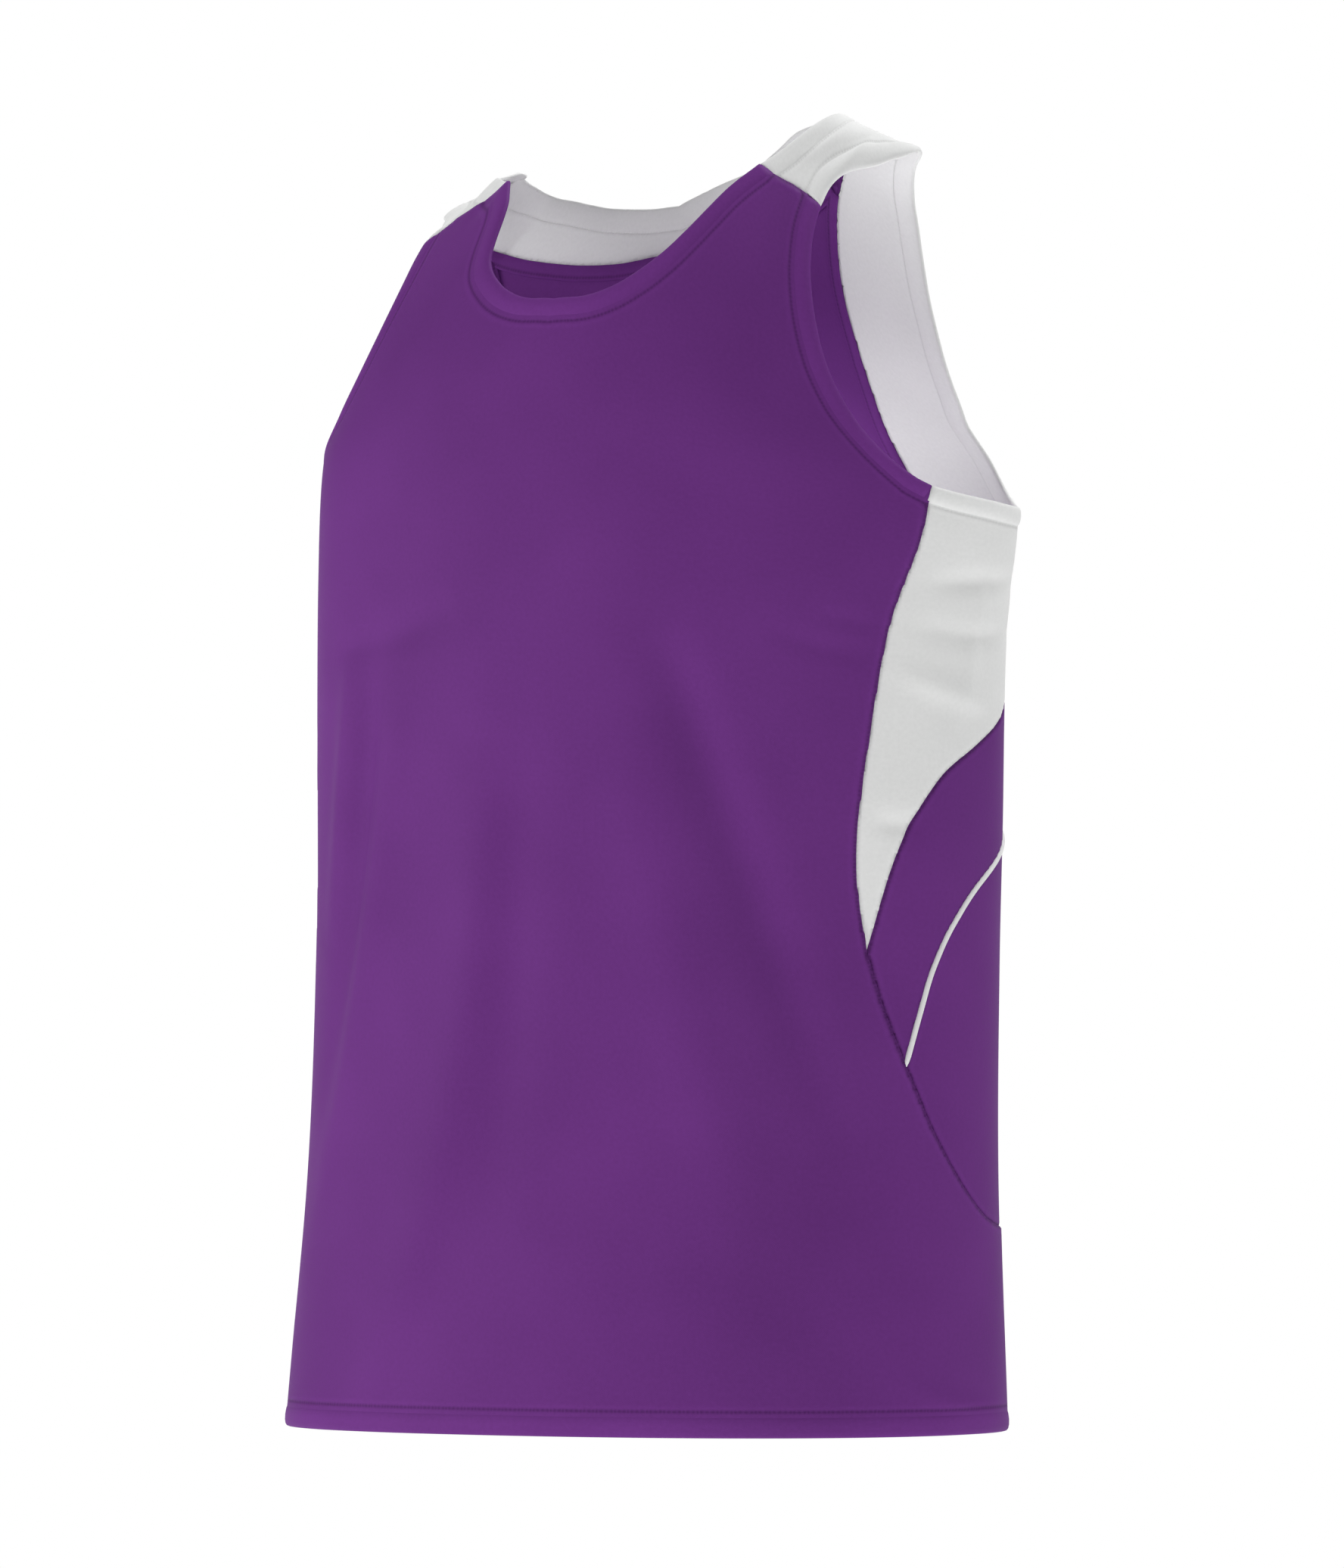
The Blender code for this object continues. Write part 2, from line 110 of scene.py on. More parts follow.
folds = {   # three points of each fold (turn, drop in cm), half width and height in mm
    "body": [
        (-.505, 33.5, -.510, 40.0, -.600, 50.0,  14,  4.5),
        (-.425, 34.0, -.440, 44.0, -.600, 62.0,  15, -5.0),
        (-.330, 34.5, -.400, 47.0, -.630, 66.0,  18,  5.0),
        (-.080, 38.0, -.120, 57.0, -.360, 75.7,  20,  5.5),
        (0.020, 40.0, 0.016, 52.0, -.020, 68.0,  16, -2.0),
        (0.330, 32.0, 0.500, 44.5, 0.740, 62.0,  15, -6.0),
        (0.250, 36.0, 0.400, 52.0, 0.560, 70.0,  22,  3.5),
        (-.150, 31.0, -.337, 33.0, -.580, 34.2,  12, -3.0),
        (1.560, 36.0, 1.640, 48.0, 1.700, 60.0,  18,  4.5),
        (1.720, 30.0, 1.760, 46.0, 1.820, 62.0,  16, -4.5),
        (-1.62, 32.0, -1.66, 46.0, -1.60, 62.0,  18,  4.5),
        (-1.78, 34.0, -1.80, 50.0, -1.76, 64.0,  16, -4.0),
        (1.300, 28.0, 1.360, 42.0, 1.400, 60.0,  16, -3.5),
        (-1.26, 30.0, -1.32, 44.0, -1.36, 60.0,  16, -3.5),
        (0.800, 21.0, 1.220, 21.5, 1.640, 21.0,  70, 12.0),
        (-.800, 21.0, -1.22, 21.5, -1.64, 21.0,  70, 12.0),
        (-.480,  2.0, -.500, 38.0, -.580, 72.0,  55, -3.5),
        (-.766, -5.0, -.741,  0.0, -.671,  5.0,  56, -9.6),
        (-1.234, -5.0, -1.259, 0.0, -1.329, 5.0, 56, -9.6),
        (-.400,  4.0, -.452,  4.1, -.500,  4.2,  16, -2.0),
    ],
    "fine": [
        (0.640, 31.3, 0.700, 31.2, 0.780, 31.6,   5, -0.8),
        (0.549, 31.9, 0.660, 32.9, 0.770, 33.0,   6, -0.8),
        (0.860, 28.8, 1.040, 28.2, 1.230, 28.0,   7, -2.7),
        (0.830, 31.3, 1.040, 31.6, 1.230, 30.7,   7, -2.4),
        (0.800, 33.8, 0.960, 35.0, 1.130, 35.3,   8,   2.7),
        (0.760, 42.3, 0.820, 42.6, 0.880, 42.2,   6, -1.7),
        (1.025, 25.0, 1.020, 31.0, 0.950, 37.5,   7,   2.4),
        (0.830, 73.0, 1.000, 74.2, 1.180, 74.6,   5,   2.0),
        (-.860, 29.0, -1.04, 28.4, -1.22, 28.6,   7, -2.7),
        (-.830, 32.0, -1.00, 32.8, -1.20, 32.0,   7, -2.4),
        (-1.02, 25.0, -1.01, 31.0, -.960, 38.0,   7,   2.4),
    ],
    "strap": [
        (0.800, -0.2, 0.745, -1.6, 0.660, -3.7,   4,  2.0),
        (0.740, -0.1, 0.665, -1.3, 0.555, -3.2,   4,  1.8),
        (0.775, -0.2, 0.705, -1.5, 0.610, -3.5,   3, -1.2),
        (0.690, 0.2,  0.620, -0.8, 0.510, -2.8,   4,  1.2),
        (0.870, -0.1, 0.820, -1.1, 0.730, -2.6,   4, -1.6),
        (-.810, -0.3, -.750, -1.5, -.680, -3.4,   4,  1.4),
        (-.740, -0.2, -.660, -1.2, -.550, -2.9,   4,  1.2),
        (-.520, -3.4, -.610, -0.4, -.600,  2.2,  14, -4.6),
        (-.860, -1.6, -.950,  0.0, -.930,  1.6,  14, -3.0),
    ],
}


foldShape = {
    "points": 33,            # along the curve of a fold
    "reach": 0.003,          # how far it works, m for each mm of its half width
    "tip": 0.02,             # share of its length at each end where it swells no further down
    "swell": 0.8,            # how slowly it swells from its ends
    "strapZone": 0.09,       # m from the ridge, where the strap's creases are looked for
}


# smooth curves through the rows of a table, read at the places given
def smoothRows(knots, rows, where):
    slope = np.gradient(rows, knots, axis=0)
    slope[1:-1] = (rows[2:] - rows[:-2]) / (knots[2:] - knots[:-2])[:, None]
    k = np.clip(np.searchsorted(knots, where, side="right") - 1, 0, len(knots) - 2)
    span = (knots[k + 1] - knots[k])[:, None]
    t = (where - knots[k])[:, None] / span
    return ((2 * t**3 - 3 * t**2 + 1) * rows[k] + (t**3 - 2 * t**2 + t) * span * slope[k]
            + (3 * t**2 - 2 * t**3) * rows[k + 1] + (t**3 - t**2) * span * slope[k + 1])


# length down the cloth from the ridge, of a square root of the drop
def fallOf(root):
    k = form["ridgeRun"]
    return root * np.hypot(2 * root, k) / 2 + k * k / 4 * np.arcsinh(2 * root / k)


# the same of a drop, which is negative on the front side of the ridge in the back chart
def fallOfDrop(drop):
    return fallOf(np.sign(drop) * np.sqrt(np.abs(drop)))


rootTable = np.linspace(-1, 1, 4001)


def rootOf(fall):
    return np.interp(fall, fallOf(rootTable), rootTable)


# points of the plain form
def onForm(turn, root):
    away = np.abs(turn)
    inFront = away <= 1
    share = np.where(inFront, away, 2 - away)
    table = form["levels"][:, 1:].copy()
    table[:, :4] *= cm
    half, front, back, side, square, slope, lean = smoothRows(
        np.sqrt(form["levels"][:, 0] * cm), table, root).T
    depth = np.where(inFront, front + side, back - side)
    power = (2 / square)[:, None]
    angles = (1 - np.cos(np.linspace(0, np.pi, form["arcPoints"]))) * np.pi / 4
    across = half[:, None] * np.sin(angles) ** power
    along = depth[:, None] * np.cos(angles) ** power
    length = np.zeros(across.shape)
    length[:, 1:] = np.cumsum(np.hypot(np.diff(across), np.diff(along)), axis=1)
    wanted = share * length[:, -1]
    k = np.clip((length < wanted[:, None]).sum(axis=1) - 1, 0, len(angles) - 2)
    row = np.arange(len(turn))
    gap = np.maximum(length[row, k + 1] - length[row, k], 1e-12)
    angle = angles[k] + (angles[k + 1] - angles[k]) * np.clip((wanted - length[row, k]) / gap, 0, 1)
    x = np.sign(turn) * half * np.sin(angle) ** power[:, 0]
    y = side + np.where(inFront, -1, 1) * depth * np.cos(angle) ** power[:, 0]
    z = form["ridgeRise"] - root**2 + lean * x
    z -= slope * (np.hypot(x, form["saddle"]) - form["saddle"])
    return np.stack([x, y, z], axis=1)


# heights at the places of spot of a list of folds; drops turns the lists' drops into lengths
def foldSum(rows, spot, drops):
    height = np.zeros(len(spot))
    t = np.linspace(0, 1, foldShape["points"])[:, None]
    for a, aDrop, b, bDrop, c, cDrop, width, rise in rows:
        start, middle, end = (np.array([u * form["quarter"], drops(v * cm)])
                              for u, v in ((a, aDrop), (b, bDrop), (c, cDrop)))
        control = 2 * middle - (start + end) / 2
        line = (1 - t)**2 * start + 2 * t * (1 - t) * control + t**2 * end
        reach = width * foldShape["reach"]
        near = ((spot > line.min(axis=0) - reach) & (spot < line.max(axis=0) + reach)).all(axis=1)
        if not near.any():
            continue
        nearest = np.linalg.norm(spot[near][:, None] - line[None], axis=2).argmin(axis=1)
        along = np.gradient(line, axis=0)[nearest]
        off = spot[near] - line[nearest]
        slide = np.clip((off * along).sum(axis=1) / (along**2).sum(axis=1), -0.5, 0.5)
        away = np.linalg.norm(off - along * slide[:, None], axis=1)
        share = np.clip((nearest + slide) / (len(t) - 1), foldShape["tip"], 1 - foldShape["tip"])
        taper = np.sin(np.pi * share) ** foldShape["swell"]
        height[near] += rise * 0.001 * taper * np.exp(-(away / width * 1000) ** 2)
    return height


def foldHeight(turn, root, across, fall):
    spot = np.stack([turn * form["quarter"], root**2], axis=1)
    height = foldSum(folds["body"] + folds["fine"], spot, lambda drop: drop)
    overRidge = np.stack([across, fall], axis=1)
    close = np.abs(fall) < foldShape["strapZone"]
    height[close] += foldSum(folds["strap"], overRidge[close], fallOfDrop)
    return height


def smoothStep(low, high, value):
    t = np.clip((value - low) / (high - low), 0, 1)
    return t * t * (3 - 2 * t)


hang = {   # how the cloth lies aside from an even cut; far is the wearer's right
    "backShift": 0.09,       # turn by which the upper back hangs over to the far side
    "bandShift": 0.045,      # and how much further its side bands do
    "bandTurns": (0.25, 0.6),                  # from the centre of the back to the bands
    "sideTurns": (1.12, 0.72),                 # nothing beyond the first, all within the second
    "backRoots": ((0, 0.2), (0.68, 0.38)),     # how the shift comes and goes down the back
    "farSpread": [(0.15, 0.30, 0.452, 0.53, 0.645, 0.80),   # the far strap lies wider in front:
                  (0, 0.053, 0.053, 0, -.037, -.037)],      # turn, and what is added to it
    "spreadRoots": ((0.06, 0.19), (0.34, 0.24)),            # how that comes and goes down it
    "farNeck": [(-.05, .011, .035, .060, .085, .115, .135, .17),    # its neck edge by the ridge:
                (0, -.013, 0, .009, .016, .010, .005, 0)],          # root, and turn added
    "neckTurns": ((0.3, 0.5), (0.8, 0.66)),                 # how that comes and goes across it
}


# a weight that comes in over the first range and goes out over the second
def window(ranges, value):
    return smoothStep(*ranges[0], value) * smoothStep(*ranges[1], value)


# turn and root of flat points, which are lengths across and down the cloth
def turnsOf(chart, flat):
    across = flat[:, 0] / form["quarter"]
    root = rootOf(flat[:, 1])
    before = root if chart == "front" else -root
    across = across + np.interp(-across, *hang["farSpread"]) * window(hang["spreadRoots"], before)
    if chart == "front":
        return across, np.abs(root)
    across = across + np.interp(root, *hang["farNeck"]) * window(hang["neckTurns"], -across)
    away = np.abs(across)
    over = hang["backShift"] + hang["bandShift"] * smoothStep(*hang["bandTurns"], away)
    over = over * window(hang["backRoots"], root) * smoothStep(*hang["sideTurns"], away)
    shifted = across - over
    roundBack = np.where(shifted < 0, -2 - shifted, 2 - shifted)
    return np.where(root < 0, across, roundBack), np.abs(root)


# outer points of the cloth and their outward directions, from its slopes over 1 mm
def clothPoints(chart, flat):
    flat = np.asarray(flat, dtype=float)
    small = np.array([[0.001, 0], [0, 0.001]])
    ahead = [onForm(*turnsOf(chart, flat + s)) for s in small]
    behind = [onForm(*turnsOf(chart, flat - s)) for s in small]
    outward = np.cross(ahead[1] - behind[1], ahead[0] - behind[0])
    if chart == "back":
        outward = -outward
    outward /= np.linalg.norm(outward, axis=1)[:, None]
    turn, root = turnsOf(chart, flat)
    rise = foldHeight(turn, root, flat[:, 0], flat[:, 1] if chart == "back" else -flat[:, 1])
    return onForm(turn, root) + outward * rise[:, None], outward


# even flat points along a smooth curve through a table of an edge
def edgeRun(name, step=0.006):
    rows = np.array(edges[name], dtype=float)
    rows[:, 0] *= form["quarter"]
    rows[:, 1] = fallOfDrop(rows[:, 1] * cm)
    knots = np.concatenate([[0], np.cumsum(np.linalg.norm(np.diff(rows, axis=0), axis=1))])
    return smoothRows(knots, rows, np.linspace(0, knots[-1], max(2, round(knots[-1] / step)) + 1))


# an edge of the front chart, below the ridge, in the back chart
def toBack(run):
    return np.stack([2 * form["quarter"] - run[:, 0], run[:, 1]], axis=1)


# one side's runs and the same mirrored, as one line or loop
def bothSides(runs):
    half = np.array([runs[0][0]] + [point for run in runs for point in run[1:]])
    other = half[::-1] * (-1, 1)
    onLine = np.abs(half[[0, -1], 0]) < 1e-7
    first = 1 if onLine[1] else 0
    last = len(other) - 1 if onLine[0] else len(other)
    return np.vstack([half, other[first:last]])


colours = {   # each knit varies slowly between its two shades
    "purple": (0.127, 0.0290, 0.190),
    "purpleLight": (0.156, 0.0365, 0.232),
    "white": (0.76, 0.765, 0.76),
    "whiteLight": (0.86, 0.865, 0.86),
}

knitting = {
    "wales": 6900.0,         # columns of loops, in radians for each metre
    "courses": 9300.0,       # and rows of loops
    "loops": 0.25,           # their height beside that of the grain
    "grain": (420.0, 3.0),   # scale and detail of the fine noise
    "patches": (9.0, 2.0),   # and of the slow changes of shade
    "shares": (0.35, 0.65),  # of grain and patches in the shade
    "shade": (0.3, 0.7),     # mixed from dark to light between these
    "roughness": (0.14, 0.50),    # share of the grain, and the least
}

stitching = {   # m from a folded edge
    "line": 0.0132,               # the groove that its stitches pull in
    "groove": 0.0009,             # and its half width
    "ridge": (0.0156, 0.0014),    # the cloth's lip beyond the stitches, and its half width
    "roll": (0.0055, 0.0045),     # the puffed roll before them, where its painted highlight lies
    "pitch": 0.0024,              # length of a stitch
    "thread": 0.25,               # how much a stitch deepens its groove, in relief and in painted shade
    "lip": (0.5, 0.4),            # the lip's share in the painted highlight and in height
    "relief": 3.0,
}


def addMath(tree, operation, *values):
    node = tree.nodes.new("ShaderNodeMath")
    node.operation = operation
    for socket, value in zip(node.inputs, values):
        if isinstance(value, bpy.types.NodeSocket):
            tree.links.new(value, socket)
        else:
            socket.default_value = value
    return node.outputs[0]


def newGroup(name, inputs, outputs):
    tree = bpy.data.node_groups.new(name, "ShaderNodeTree")
    for label, kind in inputs:
        tree.interface.new_socket(label, in_out="INPUT", socket_type="NodeSocket" + kind)
    for label, kind in outputs:
        tree.interface.new_socket(label, in_out="OUTPUT", socket_type="NodeSocket" + kind)
    return (tree, tree.nodes.new("NodeGroupInput").outputs,
            tree.nodes.new("NodeGroupOutput").inputs)


# fine jersey: columns of loops, an even grain and slow changes of shade
def knitGroup():
    tree, enter, leave = newGroup(
        "jerseyKnit", (("Vector", "Vector"), ("Dark", "Color"), ("Light", "Color")),
        (("Colour", "Color"), ("Height", "Float"), ("Roughness", "Float")))
    split = tree.nodes.new("ShaderNodeSeparateXYZ")
    tree.links.new(enter["Vector"], split.inputs[0])
    wales, courses = (
        addMath(tree, "SINE", addMath(tree, "MULTIPLY", split.outputs[axis], knitting[rows]))
        for axis, rows in (("X", "wales"), ("Y", "courses")))
    noises = []
    for scale, detail in (knitting["grain"], knitting["patches"]):
        noise = tree.nodes.new("ShaderNodeTexNoise")
        noise.inputs["Scale"].default_value = scale
        noise.inputs["Detail"].default_value = detail
        tree.links.new(enter["Vector"], noise.inputs["Vector"])
        noises.append(noise.outputs["Fac"])
    grain, patch = noises
    loops = addMath(tree, "MULTIPLY", wales, courses)
    height = addMath(tree, "MULTIPLY_ADD", loops, knitting["loops"], grain)
    tree.links.new(height, leave["Height"])
    grainShare, patchShare = knitting["shares"]
    slow = addMath(tree, "MULTIPLY", patch, patchShare)
    weight = addMath(tree, "MULTIPLY_ADD", grain, grainShare, slow)
    spread = tree.nodes.new("ShaderNodeMapRange")
    spread.inputs["From Min"].default_value = knitting["shade"][0]
    spread.inputs["From Max"].default_value = knitting["shade"][1]
    tree.links.new(weight, spread.inputs["Value"])
    shade = tree.nodes.new("ShaderNodeMix")
    shade.data_type = "RGBA"
    tree.links.new(spread.outputs["Result"], shade.inputs["Factor"])
    tree.links.new(enter["Dark"], shade.inputs["A"])
    tree.links.new(enter["Light"], shade.inputs["B"])
    tree.links.new(shade.outputs["Result"], leave["Colour"])
    rough = addMath(tree, "MULTIPLY_ADD", grain, *knitting["roughness"])
    tree.links.new(rough, leave["Roughness"])
    return tree


# a puffed roll along a folded edge, the groove of its stitches and the cloth's lip beyond, in
# relief; the groove's darkness is painted shade, the roll's and lip's brightness painted highlight
def stitchReliefAndShade():
    tree, enter, leave = newGroup(
        "coverstitchShading", (("Colour", "Color"), ("Height", "Float"), ("Seam", "Vector"),
                        ("GrooveShading", "Float"), ("RollHighlight", "Float")),
        (("Colour", "Color"), ("Height", "Float")))
    split = tree.nodes.new("ShaderNodeSeparateXYZ")
    tree.links.new(enter["Seam"], split.inputs[0])

    def bell(centre, width):
        off = addMath(tree, "SUBTRACT", split.outputs["X"], centre)
        off = addMath(tree, "DIVIDE", off, width)
        squared = addMath(tree, "MULTIPLY", off, off)
        return addMath(tree, "EXPONENT", addMath(tree, "MULTIPLY", squared, -1.0))

    turns = addMath(tree, "MULTIPLY", split.outputs["Y"], 2 * math.pi / stitching["pitch"])
    thread = addMath(tree, "MULTIPLY_ADD", addMath(tree, "SINE", turns), stitching["thread"], 1.0)
    groove = addMath(tree, "MULTIPLY", bell(stitching["line"], stitching["groove"]), thread)
    ridge = bell(*stitching["ridge"])
    # painted shade: the stitched groove darkens the colour
    grooveShade = addMath(tree, "MULTIPLY", groove, enter["GrooveShading"])
    # painted highlight: the puffed roll and the lip beyond the stitches lighten the colour
    lipHighlight, heightLip = stitching["lip"]
    paintedHighlight = addMath(tree, "MULTIPLY_ADD", ridge, lipHighlight, bell(*stitching["roll"]))
    lit = addMath(tree, "MULTIPLY", paintedHighlight, enter["RollHighlight"])
    # the colour is scaled by this painted highlight and painted shade
    shade = addMath(tree, "SUBTRACT", addMath(tree, "ADD", lit, 1.0), grooveShade)
    scaled = tree.nodes.new("ShaderNodeVectorMath")
    scaled.operation = "SCALE"
    tree.links.new(enter["Colour"], scaled.inputs[0])
    tree.links.new(shade, scaled.inputs["Scale"])
    tree.links.new(scaled.outputs[0], leave["Colour"])
    relief = addMath(tree, "SUBTRACT", addMath(tree, "MULTIPLY", ridge, heightLip), groove)
    relief = addMath(tree, "MULTIPLY", relief, stitching["relief"])
    tree.links.new(addMath(tree, "ADD", enter["Height"], relief), leave["Height"])
    return tree


knit = knitGroup()
coverstitchShading = stitchReliefAndShade()


finish = {
    "specular": 0.03,
    "reliefDepth": 0.0002,
    # strength of the relief, painted shade in the stitched groove, painted highlight on the roll
    # beside it
    "purple": (0.45, 0.28, 0.12),
    "white": (0.30, 0.09, 0.02),
}


# its last two values set the painted shade in stitched grooves and the painted highlight on puffed
# rolls
def clothMaterial(name, dark, light, bump, grooveShade, roll):
    made = bpy.data.materials.new(name)
    made.use_nodes = True
    nodes, links = made.node_tree.nodes, made.node_tree.links
    shader = nodes["Principled BSDF"]
    shader.inputs["Specular IOR Level"].default_value = finish["specular"]
    maps = []
    for layer in ("cloth", "seam"):
        place = nodes.new("ShaderNodeUVMap")
        place.uv_map = layer
        maps.append(place.outputs["UV"])
    knitted = nodes.new("ShaderNodeGroup")
    knitted.node_tree = knit
    knitted.inputs["Dark"].default_value = (*dark, 1)
    knitted.inputs["Light"].default_value = (*light, 1)
    links.new(maps[0], knitted.inputs["Vector"])
    # the stitch group adds relief and paints shade into grooves and highlights onto rolls
    sewn = nodes.new("ShaderNodeGroup")
    sewn.node_tree = coverstitchShading
    sewn.inputs["GrooveShading"].default_value = grooveShade
    sewn.inputs["RollHighlight"].default_value = roll
    links.new(maps[1], sewn.inputs["Seam"])
    for label in ("Colour", "Height"):
        links.new(knitted.outputs[label], sewn.inputs[label])
    links.new(sewn.outputs["Colour"], shader.inputs["Base Color"])
    links.new(knitted.outputs["Roughness"], shader.inputs["Roughness"])
    relief = nodes.new("ShaderNodeBump")
    relief.inputs["Strength"].default_value = bump
    relief.inputs["Distance"].default_value = finish["reliefDepth"]
    links.new(sewn.outputs["Height"], relief.inputs["Height"])
    links.new(relief.outputs["Normal"], shader.inputs["Normal"])
    return made


purpleKnit, whiteKnit = (
    clothMaterial(colour + "Knit", colours[colour], colours[colour + "Light"], *finish[colour])
    for colour in ("purple", "white"))
print("cloth materials made")

cloth = {
    "cell": 0.0036,          # mesh cell of the large panels
    "yokeCell": 0.0025,      # and of the finely creased yoke
    "wall": 0.0010,          # thickness of the knit
    "seamDip": 0.0006,       # how far an edge sinks where it is sewn
    "edgeStep": 0.0015,      # spacing of the points along an edge
    "joinMark": 0.0122,      # sets the pull of a sewn seam 1 mm from it: its groove in relief and painted shade
    "snap": 0.12,            # share of a cell within which a cut keeps to points that are there
}


# the flat piece, cut across and along into even cells
def cutFlat(outline, cell):
    flat = bmesh.new()
    flat.faces.new([flat.verts.new((u, v, 0)) for u, v in outline])
    low, high = np.min(outline, axis=0), np.max(outline, axis=0)
    for axis in (0, 1):
        normal = (1 - axis, axis, 0)
        for n in range(math.ceil(low[axis] / cell), math.floor(high[axis] / cell) + 1):
            everything = flat.verts[:] + flat.edges[:] + flat.faces[:]
            at = [n * cell * part for part in normal]
            bmesh.ops.bisect_plane(flat, geom=everything, dist=cell * cloth["snap"],
                                   plane_co=at, plane_no=normal)
    crowded = [face for face in flat.faces if len(face.verts) > 4]
    bmesh.ops.triangulate(flat, faces=crowded)
    return flat


def toObject(name, mesh, material):
    data = bpy.data.meshes.new(name)
    mesh.to_mesh(data)
    mesh.free()
    data.materials.append(material)
    data.shade_smooth()
    piece = bpy.data.objects.new(name, data)
    bpy.context.scene.collection.objects.link(piece)
    return piece


# how far flat points lie from the nearest of some edges, and how far along it
def edgePlaces(flat, runs):
    tree = KDTree(sum(len(run) for run in runs))
    along = []
    for run in runs:
        for n, (u, v) in enumerate(run):
            tree.insert((u, v, 0), len(along))
            along.append(n * cloth["edgeStep"])
    tree.balance()
    found = [tree.find((u, v, 0)) for u, v in flat]
    return np.array([(away, along[n]) for _, n, away in found])


# one cut piece wrapped round the form, with its knit laid along the cloth
def sewnPiece(name, chart, outline, material, cell, folded, joined):
    sheet = cutFlat(outline, cell)
    flat = np.array([vert.co[:2] for vert in sheet.verts])
    points, outward = clothPoints(chart, flat)
    edge = np.array([vert.is_boundary for vert in sheet.verts])
    points -= outward * (edge * cloth["seamDip"])[:, None]
    knitMap = sheet.loops.layers.uv.new("cloth")
    # distances from folded and sewn edges, which place the stitching's relief, painted shade and
    # painted highlight
    seamMap = sheet.loops.layers.uv.new("seam")
    places = edgePlaces(flat, joined) + (cloth["joinMark"], 0)
    if folded:
        hemmed = edgePlaces(flat, folded)
        places = np.where(hemmed[:, :1] < places[:, :1], hemmed, places)
    sheet.verts.index_update()
    for face in sheet.faces:
        for loop in face.loops:
            loop[knitMap].uv = loop.vert.co[:2]
            loop[seamMap].uv = places[loop.vert.index]
    for vert, point in zip(sheet.verts, points):
        vert.co = point
    if chart == "front":
        bmesh.ops.reverse_faces(sheet, faces=sheet.faces[:])
    piece = toObject(name, sheet, material)
    wall = piece.modifiers.new("wall", "SOLIDIFY")
    wall.thickness = cloth["wall"]
    wall.offset = -1
    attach(piece, "root")
    return piece


hemFall = float(fallOfDrop(form["hemDrop"] * cm))
quarter = form["quarter"]
step = cloth["edgeStep"]
neckFrontRun = bothSides([edgeRun("neckFront", step)[::-1]])
neckBackRun = bothSides([edgeRun("neckBack", step)[::-1]])
roundHem = np.linspace(-2 * quarter, 2 * quarter, round(4 * quarter / step) + 1)
bottomRun = np.stack([roundHem, np.full(len(roundHem), hemFall)], axis=1)
armholeRuns = {sign: [edgeRun(name, step) * (sign, 1) for name in ("armholeFront", "armholeBack")]
               for sign in (1, -1)}

joinRuns = {name: [edgeRun(name, step) * (sign, 1) for sign in (1, -1)]
            for name in ("shoulderSeam", "sideTop", "sideMiddle", "sideLow", "yokeSeam",
                         "bandSeam", "pipingSeam")}
backRuns = {name: [toBack(joinRuns[name][0]), toBack(joinRuns[name][0]) * (-1, 1)]
            for name in ("sideTop", "sideMiddle", "sideLow")}

backSeam = np.array([(2 * quarter, hemFall), (2 * quarter, edgeRun("sideLow")[-1][1])])
frontOutline = bothSides([backSeam] + [edgeRun(name)[::-1] for name in (
    "sideLow", "sideMiddle", "sideTop", "armholeFront", "shoulderSeam", "neckFront")])
frontPanel = sewnPiece(
    "frontPanel", "front", frontOutline, purpleKnit, cloth["cell"],
    folded=[neckFrontRun, bottomRun, armholeRuns[1][0], armholeRuns[-1][0]],
    joined=(joinRuns["shoulderSeam"] + joinRuns["sideTop"] + joinRuns["sideMiddle"]
            + joinRuns["sideLow"]))
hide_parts("front_panel")
print("front panel made")

yokeOutline = bothSides([
    edgeRun("neckBack"), edgeRun("shoulderSeam") * (1, -1), edgeRun("armholeBack")[::-1],
    toBack(edgeRun("sideTop")), edgeRun("bandSeam")[::-1], edgeRun("yokeSeam")[::-1]])
backYoke = sewnPiece(
    "backYoke", "back", yokeOutline, whiteKnit, cloth["yokeCell"],
    folded=[neckBackRun, armholeRuns[1][1], armholeRuns[-1][1]],
    joined=backRuns["sideTop"] + joinRuns["bandSeam"] + joinRuns["yokeSeam"])
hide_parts("back_yoke")
print("back yoke made")

centreOutline = bothSides([
    edgeRun("yokeSeam"), edgeRun("bandSeam"), toBack(edgeRun("sideMiddle")),
    edgeRun("pipingSeam")])
centreBack = sewnPiece(
    "centreBackPanel", "back", centreOutline, purpleKnit, cloth["cell"], folded=[],
    joined=joinRuns["yokeSeam"] + joinRuns["bandSeam"] + backRuns["sideMiddle"])
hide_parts("centre_back_panel")

lowerOutline = bothSides([edgeRun("pipingSeam")[::-1], toBack(edgeRun("sideLow"))])
lowerBack = sewnPiece(
    "lowerBackPanel", "back", lowerOutline, purpleKnit, cloth["cell"], folded=[],
    joined=joinRuns["pipingSeam"] + backRuns["sideLow"])
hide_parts("lower_back_panel")
print("back panels made")


strip = {
    "mitreFade": 0.008,      # how far from its end a strip turns into its mitre
    "edgeProbe": 0.002,      # step into the cloth that gives the way out of its edge
    "merge": 0.000001,
}


